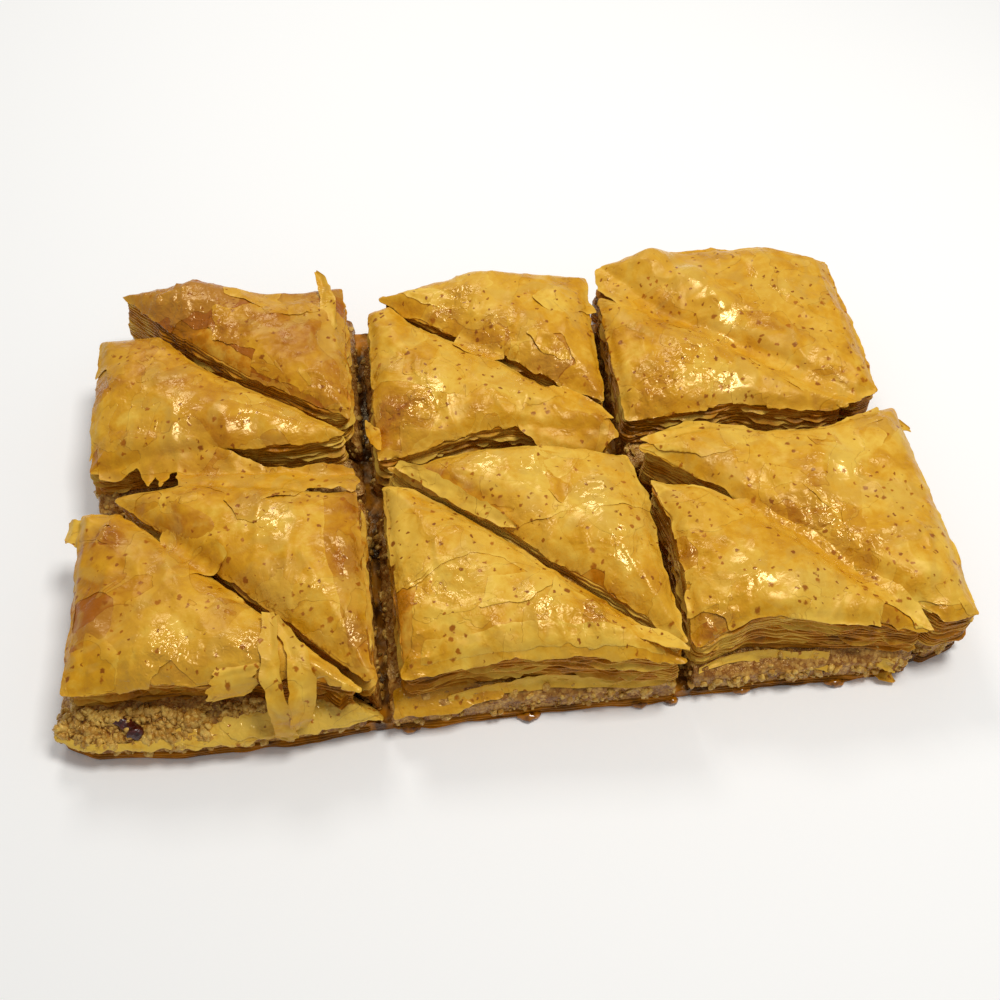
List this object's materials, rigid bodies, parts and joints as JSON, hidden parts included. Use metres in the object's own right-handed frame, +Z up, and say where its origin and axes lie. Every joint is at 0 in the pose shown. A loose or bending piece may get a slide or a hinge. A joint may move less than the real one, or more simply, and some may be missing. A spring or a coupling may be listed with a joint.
{
  "type": "baklava slab cut in triangles",
  "caption": "Slab of baklava: layered phyllo over ground nuts, cut in squares and each square cut in two triangles.",
  "frame": {"origin": "centre of the slab's bounding box, on the surface it rests on", "axes": "+X along the near edge, +Y from the near edge to the far edge, +Z up"},
  "size_m": [0.2386, 0.1486, 0.0302],
  "materials": {
    "phyllo_crust": "baked phyllo with syrup, golden and glossy, freckled brown",
    "nut_filling": "ground nuts bound with syrup, coarse and moist",
    "soaked_base": "phyllo soaked in syrup, brown and wet"
  },
  "bodies": {
    "root": {"near_left_front_crust": "phyllo_crust", "near_left_front_filling": "nut_filling", "near_left_front_base": "soaked_base", "near_left_back_crust": "phyllo_crust", "near_left_back_filling": "nut_filling", "near_left_back_base": "soaked_base", "near_mid_front_crust": "phyllo_crust", "near_mid_front_filling": "nut_filling", "near_mid_front_base": "soaked_base", "near_mid_back_crust": "phyllo_crust", "near_mid_back_filling": "nut_filling", "near_mid_back_base": "soaked_base", "near_right_front_crust": "phyllo_crust", "near_right_front_filling": "nut_filling", "near_right_front_base": "soaked_base", "near_right_back_crust": "phyllo_crust", "near_right_back_filling": "nut_filling", "near_right_back_base": "soaked_base", "far_left_front_crust": "phyllo_crust", "far_left_front_filling": "nut_filling", "far_left_front_base": "soaked_base", "far_left_back_crust": "phyllo_crust", "far_left_back_filling": "nut_filling", "far_left_back_base": "soaked_base", "far_mid_front_crust": "phyllo_crust", "far_mid_front_filling": "nut_filling", "far_mid_front_base": "soaked_base", "far_mid_back_crust": "phyllo_crust", "far_mid_back_filling": "nut_filling", "far_mid_back_base": "soaked_base", "far_right_front_crust": "phyllo_crust", "far_right_front_filling": "nut_filling", "far_right_front_base": "soaked_base", "far_right_back_crust": "phyllo_crust", "far_right_back_filling": "nut_filling", "far_right_back_base": "soaked_base"}
  },
  "joints": []
}
